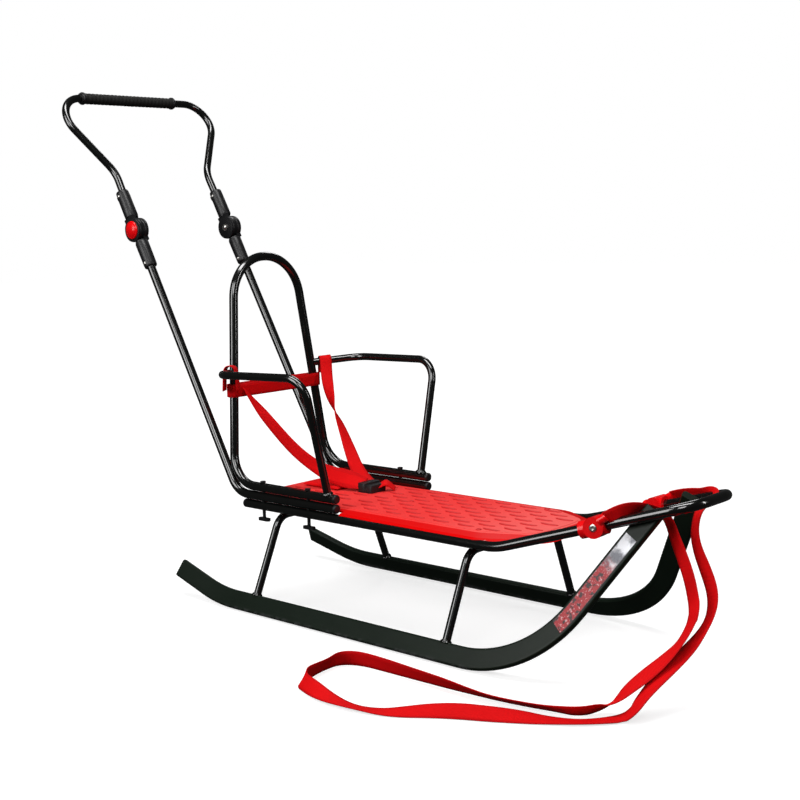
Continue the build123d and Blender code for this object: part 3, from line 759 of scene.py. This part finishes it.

# %% [markdown]
# ## Tread of the seat
# Short raised bars run along the seat in staggered rows, so that a child doesn't slide. A bump
# texture would vanish at the silhouette, so each bar is a low plate with pointed ends. The rows stop
# at the buckle and the pad, leave the step in the top free and follow the tapering front.

# %% Tread plastic in a red darkened as painted shade, and where the top lies
# The bars are a darker red than the seat's top: painted shade of their shadowed sides
painted_shade_red = Finish("painted_shade_red", (0.5, 0.01, 0.012), 0.5, specular_ior_level=0.3)
painted_shade_red.feed("Base Color", painted_shade_red.mix(
    (0.46, 0.008, 0.009), (0.58, 0.014, 0.015), painted_shade_red.speckle(200)))
painted_shade_red.feed("Roughness", 0.42 + 0.15 * painted_shade_red.speckle(800))
painted_shade_red.relief(painted_shade_red.speckle(900, 2.0), 0.1)
TOP_STEP = 138.0            # x of the step in the seat's top
TOP_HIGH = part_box("seat_pan")[1][2] / MM
TOP_LOW = TOP_HIGH - 0.8
TOP_HALF, TAPER_IN, TAPER_START, TAPER_LONG, TAPER_POWER = 101.0, 44.0, 462.0, 94.0, 1.25


def on_seat(x, y):
    """A place on the seat's top."""
    return at(x, y, TOP_HIGH if x > TOP_STEP else TOP_LOW)


def top_half(x):
    """Half the width of the seat's flat top at a place along it."""
    taper = max(0.0, min(1.0, (x - TAPER_START) / TAPER_LONG))
    return TOP_HALF - TAPER_IN * taper ** TAPER_POWER


def under(node, x, y, room):
    """Whether a place on the drawing lies under a piece."""
    low, high = (Vector(corner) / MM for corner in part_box(node))
    return low.x - room < x - MIDDLE < high.x + room and low.y - room < y < high.y + room


print("seat top at", round(TOP_LOW, 1), "and", round(TOP_HIGH, 1), "mm")

# %% Tread bars
BAR = ((-17.5, 2.4), (-13, 2.9), (0, 1.8), (13, 2.9), (17.5, 2.4), (12, -2.0), (0, -3.6), (-12, -2.0))
BAR_HIGH, BAR_EASE = 1.3, 0.9
BAR_PITCH, ROW_PITCH, BAR_SHIFT = 52.0, 20.5, 8
BAR_REACH, BORDER, STEP_ROOM, COVER_ROOM = 17, 6, 18, 9
TREAD_REAR, TREAD_FRONT = -42, 540


def bare(x, y):
    """Whether a bar fits at a place: on the flat top, off the step and not covered."""
    if x < TREAD_REAR or x > TREAD_FRONT or abs(x - TOP_STEP) < STEP_ROOM:
        return False
    if abs(y) > top_half(x + BAR_REACH) - BORDER:
        return False
    return not any(under(node, x, y, COVER_ROOM) for node in ("harness_buckle", "harness_pad"))


shape = bmesh.new()
bars = 0
for row in range(-4, 5):
    for step in range(-2, 12):
        x = step * BAR_PITCH + (BAR_PITCH / 2 if row % 2 else 0) + BAR_SHIFT
        y = row * ROW_PITCH
        if bare(x, y):
            raise_plate(shape, BAR, on_seat(x, y), ALONG, LEFT, BAR_HIGH, BAR_EASE)
            bars += 1
show("tread_bars", shape, painted_shade_red, "sled")
print(bars, "tread bars")

# %% Seat screws
HEAD = ((0, 4.6), (0.7, 4.6), (1.5, 3.9), (1.9, 2.6), (1.9, 1.5), (1.0, 1.3), (1.0, 0.2))
screw_spots = ((459, -91), (459, 91), (232, 6), (60, -60))
shape = bmesh.new()
for x, y in screw_spots:
    spin(shape, HEAD, on_seat(x, y), UP, 24)
# The screw heads share the bars' darker red of painted shade
show("seat_screws", shape, painted_shade_red, "sled")
print(len(screw_spots), "seat screws")

# %% [markdown]
# ## Hinge buttons, screws and lugs
# Each knuckle is two half discs on a pin, with sleeves clamped on the tubes by a screw. A red domed
# button covers the outer face and frees the tilt, and the upper sleeves carry a small lug. A sphere
# cut flat would pass for a button. A spun profile also gives it a rim and a groove.

# %% Hinge buttons
HINGE_X, HINGE_Z, HINGE_HALF = -344.8, 676.5, 116.0
HALF_KNUCKLE = 11
BUTTON = (
    (0.0, 17.0), (1.6, 17.0), (2.6, 16.4), (3.2, 15.4), (3.3, 14.6), (2.9, 14.2), (3.8, 13.4), (5.0, 11.4),
    (6.0, 8.6), (6.7, 5.4), (7.0, 2.2), (7.05, 0.3),
)
for side_name, side, body in (("left", 1, "sled"), ("right", -1, "push_handle")):
    shape = bmesh.new()
    face = at(HINGE_X, side * (HINGE_HALF + HALF_KNUCKLE), HINGE_Z)
    spin(shape, BUTTON, face, LEFT * side, 48)
    button = show(f"domed_button_{side_name}", shape, clip_red, body, 30)
    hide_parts(f"hinge_button_{side_name}")
print("two hinge buttons")

# %% Sleeve screws and lugs
HANDLE_LEAN = radians(60.9)
PUSH_WAY = Vector((264.8, 0, -478.2)).normalized()
HANDLE_WAY = Vector((-cos(HANDLE_LEAN), 0, sin(HANDLE_LEAN)))
PAN_HEAD = ((-1.0, 3.4), (0.6, 3.4), (1.3, 2.9), (1.7, 1.9), (1.7, 1.0), (1.0, 0.9), (1.0, 0.15))
SLEEVE_OUT = 12.3


def hinge(side):
    """The middle of a hinge."""
    return at(HINGE_X, side * HINGE_HALF, HINGE_Z)


for name, way, reach, body in (
    ("lower_sleeve_screws", PUSH_WAY, 72, "sled"),
    ("upper_sleeve_screws", HANDLE_WAY, 73, "push_handle"),
):
    shape = bmesh.new()
    for _, side in SIDES:
        middle = hinge(side) + way * (reach * MM)
        for face in (1, -1):
            spin(shape, PAN_HEAD, middle + LEFT * (face * SLEEVE_OUT * MM), LEFT * face, 20)
    show(name, shape, zinc, body)

LUG_REACH, LUG_OUT, LUG_HIGH, LUG_EASE = 76, 11.4, 4.5, 1.4
lug_way = HANDLE_WAY.cross(LEFT)
lug_way = lug_way if lug_way.x < 0 else -lug_way
shape = bmesh.new()
for _, side in SIDES:
    foot = hinge(side) + HANDLE_WAY * (LUG_REACH * MM) + lug_way * (LUG_OUT * MM)
    raise_plate(shape, rounded(9, 10, 2.5), foot, LEFT, lug_way.cross(LEFT), LUG_HIGH, LUG_EASE)
show("sleeve_lugs", shape, charcoal, "push_handle")
print("eight sleeve screws and two lugs")

# %% [markdown]
# ## Hinge shells and pin heads
# The knuckles and sleeves are mouldings with softly rounded rims. Bevels on the CAD pieces would
# have to be redone whenever those change. A thin spun shell over each half disc and each sleeve
# gives the same rims and rides on the same body. The inner end of each pin gets a domed head.

# %% Hinge shells
RIM = (
    (0.3, 18.5), (0.9, 20.8), (2.2, 22.6), (3.8, 23.1), (7.2, 23.1),
    (9.0, 22.9), (10.4, 22.0), (11.15, 20.4),
)
for name, way, reach, face, body in (
    ("lower_hinge_shells", PUSH_WAY, 80, 1, "sled"),
    ("upper_hinge_shells", HANDLE_WAY, 84, -1, "push_handle"),
):
    wall = (
        (26.5, 10.6), (27.2, 12.2), (29, 12.8), (45, 12.7), (reach - 6, 12.4), (reach - 2, 12.1),
        (reach - 0.6, 11.4), (reach, 10.2), (reach, 6.5),
    )
    shape = bmesh.new()
    for _, side in SIDES:
        middle = hinge(side)
        spin(shape, RIM, middle, LEFT * face, 64)
        spin(shape, wall, middle, way, 48)
    show(name, shape, charcoal, body)
print("four hinge shells")

# %% Pin heads
PIN_DOME = ((-0.6, 4.6), (0.3, 4.6), (1.2, 4.0), (2.0, 2.7), (2.4, 1.2), (2.5, 0.2))
shape = bmesh.new()
for side_name, side in SIDES:
    low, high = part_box(f"hinge_pin_{side_name}")
    head = at(HINGE_X, 0, HINGE_Z)
    head.y = low[1] if side > 0 else high[1]
    spin(shape, PIN_DOME, head, LEFT * -side, 28)
show("pin_heads", shape, zinc, "sled")
print("two pin heads")

# %% [markdown]
# ## Grip
# The grip is a foam sleeve between two collars. The foam is wound on in a slant, so its radius
# ripples along a helix, and each collar has a small lip towards the bar's end. A texture could fake
# the winding, but the outline would stay straight, so the ripple is in the spun mesh.

# %% Foam grip
grip_low, grip_high = (Vector(corner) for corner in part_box("push_grip"))
grip_middle = (grip_low + grip_high) / 2
GRIP_LONG = (grip_high.y - grip_low.y) / MM
COLLAR, TUCK = 8.0, 0.5
FOAM_R, TUCK_R = 10.35, 10.6
GRIP_STEPS = 150
sleeve = [(COLLAR - TUCK, TUCK_R)]
for step in range(GRIP_STEPS + 1):
    sleeve.append((COLLAR + (GRIP_LONG - 2 * COLLAR) * step / GRIP_STEPS, FOAM_R))
sleeve.append((GRIP_LONG - COLLAR + TUCK, TUCK_R))


def wound(step, angle):
    """The slanting winding of the foam."""
    return 0.28 * sin(step * tau / 9.0 + angle) + 0.2 * noise.noise(Vector((step * 0.09, angle, 0.3)))


shape = bmesh.new()
spin(shape, sleeve, Vector((grip_middle.x, grip_low.y, grip_middle.z)), LEFT, 48, wound)
foam_grip = show("foam_grip", shape, foam, "push_handle", 60)
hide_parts("push_grip")
print("grip", round(GRIP_LONG), "mm long")

# %% Collars of the grip
COLLAR_PROFILE = (
    (0, 9.0), (0.4, 10.4), (1.6, 10.8), (2.2, 10.4), (2.8, 11.6), (3.6, 12.2), (6.6, 12.2),
    (7.6, 11.6), (8.0, 10.2),
)
shape = bmesh.new()
for end, way in ((grip_low.y, LEFT), (grip_high.y, -LEFT)):
    spin(shape, COLLAR_PROFILE, Vector((grip_middle.x, end, grip_middle.z)), way, 40)
show("grip_collars", shape, charcoal, "push_handle")
print("two collars")

# %% [markdown]
# ## Rivets
# A domed zinc rivet with a small hollow holds each tow clip on the nose tube. A cylinder with a
# bevel would do. The spun profile has the hollow too, and follows the clip's slant.

# %% Tow clip rivets
RIVET = ((0.0, 6.0), (0.8, 6.0), (1.6, 5.4), (2.1, 4.2), (2.3, 2.6), (1.9, 1.7), (1.9, 0.2))
RIVET_SINK = 1.0 * MM
for side_name, side in SIDES:
    low, high = (Vector(corner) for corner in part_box(f"tow_clip_rivet_{side_name}"))
    foot = (low + high) / 2
    way = Vector((0.19, 0.98 * side, 0.02)).normalized()
    shape = bmesh.new()
    spin(shape, RIVET, foot - way * RIVET_SINK, way, 32)
    rivet = show(f"clip_rivet_{side_name}", shape, zinc, "sled")
    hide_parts(f"tow_clip_rivet_{side_name}")
print("two clip rivets")

# %% [markdown]
# ## Weld beads
# Where the legs stand on the runners and the armrests on the stack, a weld bead runs round the tube.
# A torus would be too even. A spun ring whose radius ripples gives a scalloped, slightly uneven
# crest. The runners lean, so one function finds places on their leaning plane.

# %% Places on a runner
LEAN = radians(27)
TRACK, SOLE, RUNNER_HIGH, WELD_GAP = 174.5, 17.65, 33.5, 0.3


def on_runner(x, rise, side):
    """A place on a runner's leaning middle plane."""
    return at(x, side * (TRACK - rise * sin(LEAN)), SOLE + rise * cos(LEAN))


def bead(step, angle):
    """The uneven crest of a weld."""
    return 0.35 * sin(angle * 15) + 0.5 * noise.noise(Vector((cos(angle) * 2, sin(angle) * 2, step)))


print("runner plane ready")

# %% Weld beads
LEG_X = ((16, 22), (452, 456))          # foot and top of each leg bow
LEG_TOP_HALF, LEG_TOP_Z, LEG_R = 112.25, 166.45, 6.75
ARM_FOOT, ARM_KNEE, ARM_R = (154, 119, 215.1), (153, 167, 425), 7.0
ARM_WELD = 8.3 * MM                     # up the armrest from its foot
# Beads: foot, way up the tube, tube radius
bead_rows = []
for foot_x, top_x in LEG_X:
    for _, side in SIDES:
        way = at(top_x, side * LEG_TOP_HALF, LEG_TOP_Z) - on_runner(foot_x, 0, side)
        share = (RUNNER_HIGH / 2 + WELD_GAP) * MM / way.length
        bead_rows.append((on_runner(foot_x, 0, side) + way * share, way, LEG_R))
for _, side in SIDES:
    foot, knee = (at(x, side * y, z) for x, y, z in (ARM_FOOT, ARM_KNEE))
    way = knee - foot
    bead_rows.append((foot + way.normalized() * ARM_WELD, way, ARM_R))
# Crest of a bead: along the tube, out from its radius
CREST = ((-1.5, 2.6), (0, 2.4), (1.2, 1.7), (2.4, 0.7), (3.2, -0.6))
shape = bmesh.new()
for foot, way, radius in bead_rows:
    spin(shape, [(step, radius + out) for step, out in CREST], foot, way, 60, bead)
show("weld_beads", shape, gloss_paint, "sled", 60)
print(len(bead_rows), "weld beads")

# %% [markdown]
# ## Runner stickers
# The outer face of each runner carries a sticker on its rise: a mottled red field that fades to bare
# silver. It could be painted into the runner's own material. As a thin piece of its own it keeps its
# edges sharp. It follows the bend, so it is laid out along the runner's own line.

# %% The runner's line
BEND_X, TIP_X, TIP_RISE, BEND_R = 608.0, 755.0, 270.0, 205.0
RISE_WAY = Vector((TIP_X - BEND_X, TIP_RISE)).normalized()
BEND_TURN = RISE_WAY.angle(Vector((1, 0)))
BEND_RUN = BEND_R * BEND_TURN
TANGENT = BEND_R * sin(BEND_TURN / 2) / cos(BEND_TURN / 2)


def runner_line(run):
    """Place and heading on the runner's line, from where its front bend starts."""
    if run < BEND_RUN:
        angle = run / BEND_R
        spot = Vector((BEND_X - TANGENT + BEND_R * sin(angle), BEND_R * (1 - cos(angle))))
        return spot, Vector((cos(angle), sin(angle)))
    return Vector((BEND_X, 0)) + RISE_WAY * (TANGENT + run - BEND_RUN), RISE_WAY


print("front bend", round(BEND_RUN), "mm round")

# %% Print of the sticker
SILVER_START, SILVER_FULL = 0.12, 0.15      # metres along the sticker
RIM_START, RIM_FULL = 0.0108, 0.0114        # metres from its middle
sticker = Finish("plain_sticker", (0.5, 0.5, 0.52), 0.3, coat_weight=0.5)
sticker_run, sticker_across = sticker.along_web()
patchy = sticker.speckle(260, 4.0)
red_field = sticker.mix((0.34, 0.006, 0.012), (0.6, 0.36, 0.37), patchy.fade(0.54, 0.68))
red_field = sticker.mix(red_field, (0.03, 0.008, 0.01), sticker.speckle(120, 4.0).fade(0.52, 0.6))
silver = sticker.mix((0.16, 0.165, 0.19), (0.85, 0.86, 0.9), sticker.speckle(45).fade(0.36, 0.6))
blend = (sticker_run + 0.03 * patchy).fade(SILVER_START, SILVER_FULL)
inside = sticker.mix(red_field, silver, blend)
rim = abs(sticker_across).fade(RIM_START, RIM_FULL)
sticker.feed("Base Color", sticker.mix(inside, (0.012, 0.012, 0.013), rim))
sticker.feed("Roughness", 0.22 + 0.15 * sticker.speckle(90))
print("sticker finish made")

# %% Stickers
STICKER_START, STICKER_LONG, STICKER_HALF, STICKER_STEPS = 182.0, 172.0, 12.0, 30
STICKER_FOOT, STICKER_FACE = 6.02, 6.3      # out from the runner's middle plane
STICKER_SECTION = (
    (-STICKER_HALF, STICKER_FOOT), (-STICKER_HALF, STICKER_FACE),
    (STICKER_HALF, STICKER_FACE), (STICKER_HALF, STICKER_FOOT),
)
for side_name, side in SIDES:
    shape = bmesh.new()
    web_map = shape.loops.layers.uv.new("web")
    outward = Vector((0, side * cos(LEAN), sin(LEAN)))
    rows = []
    for step in range(STICKER_STEPS + 1):
        run = STICKER_LONG * step / STICKER_STEPS
        spot, heading = runner_line(STICKER_START + run)
        ring = []
        for wide, lift in STICKER_SECTION:
            flat = on_runner(spot.x - heading.y * wide, spot.y + heading.x * wide, side)
            ring.append(shape.verts.new(flat + outward * (lift * MM)))
        rows.append((run, ring))
    for (run, low), (next_run, high) in zip(rows, rows[1:]):
        for a, b in ((0, 1), (1, 2), (2, 3), (3, 0)):
            face = shape.faces.new((low[a], low[b], high[b], high[a]))
            corners = ((run, a), (run, b), (next_run, b), (next_run, a))
            for loop, (length, corner) in zip(face.loops, corners):
                loop[web_map].uv = (length * MM, STICKER_SECTION[corner][0] * MM)
    shape.faces.new(rows[0][1])
    shape.faces.new(list(reversed(rows[-1][1])))
    show(f"runner_sticker_{side_name}", shape, sticker, "sled")
print("two stickers,", round(STICKER_LONG), "mm long")

# %% [markdown]
# ## Studio floor
# A pure white sweep. A big white plane lit by lamps would cast its grey into the black tubes, so the
# floor glows a little by itself, which keeps shadows faint, and reflections don't see it.

# %% Floor
FLOOR = 14.0
GLOW_NEAR, GLOW_FAR = 0.6, 6.0      # distance squared, in square metres
floor_mesh = bpy.data.meshes.new("studio_floor")
floor_mesh.from_pydata(
    [(-FLOOR, -FLOOR, 0), (FLOOR, -FLOOR, 0), (FLOOR, FLOOR, 0), (-FLOOR, FLOOR, 0)], [], [(0, 1, 2, 3)])
floor = bpy.data.objects.new("studio_floor", floor_mesh)
bpy.context.collection.objects.link(floor)
floor.visible_glossy = False
floor.visible_diffuse = False
pale = Finish("pale_floor", (0.5, 0.5, 0.5), 0.9, emission_strength=1.0)
floor_x, floor_y, _ = pale.axes()
far = (floor_x * floor_x + floor_y * floor_y).fade(GLOW_NEAR, GLOW_FAR)
pale.feed("Emission Color", pale.mix((0.72, 0.72, 0.72), (1, 1, 1), far))
floor_mesh.materials.append(pale.material)
print("white floor", 2 * FLOOR, "m wide")

# %% [markdown]
# ## World and lamps
# The camera sees a white world, but the world lights the sled only a little. The light comes from
# five area lamps. Small strong ones would leave speckled threads of light on the thin tubes, so the
# main lamps are wide and show as soft lines.

# %% World
WORLD_FILL = 0.035
world = bpy.data.worlds.new("white_studio")
bpy.context.scene.world = world
world.use_nodes = True
sky = world.node_tree
backdrop = sky.nodes["Background"]
seen = Shade.node(sky, "LightPath", {}, {}, "Is Camera Ray")
backdrop.inputs["Color"].default_value = (1, 1, 1, 1)
sky.links.new((WORLD_FILL + (1 - WORLD_FILL) * seen).socket, backdrop.inputs["Strength"])
bpy.context.scene.view_settings.view_transform = "Standard"
print("white world with a fill of", WORLD_FILL)

# %% Lamps
# Name, place, aim, width and height in metres, watts
lamp_rows = (
    ("key_box", (-0.7, -3.0, 1.6), (0.0, 0.0, 0.4), 1.4, 2.2, 58),
    ("front_box", (2.0, -3.2, 2.6), (0.1, 0.0, 0.3), 1.6, 1.6, 58),
    ("top_strip", (0.2, -0.5, 3.0), (0.1, 0.0, 0.2), 2.4, 0.7, 62),
    ("nose_strip", (3.2, 0.9, 1.6), (0.2, 0.0, 0.3), 0.2, 1.8, 20),
    ("back_box", (-1.6, 2.6, 2.6), (0.0, 0.0, 0.4), 1.0, 1.0, 14),
)
for name, place, aim, width, height, watts in lamp_rows:
    lamp = bpy.data.lights.new(name, "AREA")
    lamp.shape = "RECTANGLE"
    lamp.size = width
    lamp.size_y = height
    lamp.energy = watts
    holder = bpy.data.objects.new(name, lamp)
    bpy.context.collection.objects.link(holder)
    way = Vector(aim) - Vector(place)
    holder.location = place
    holder.rotation_euler = way.to_track_quat("-Z", "Y").to_euler()
print("studio with", len(lamp_rows), "lamps")
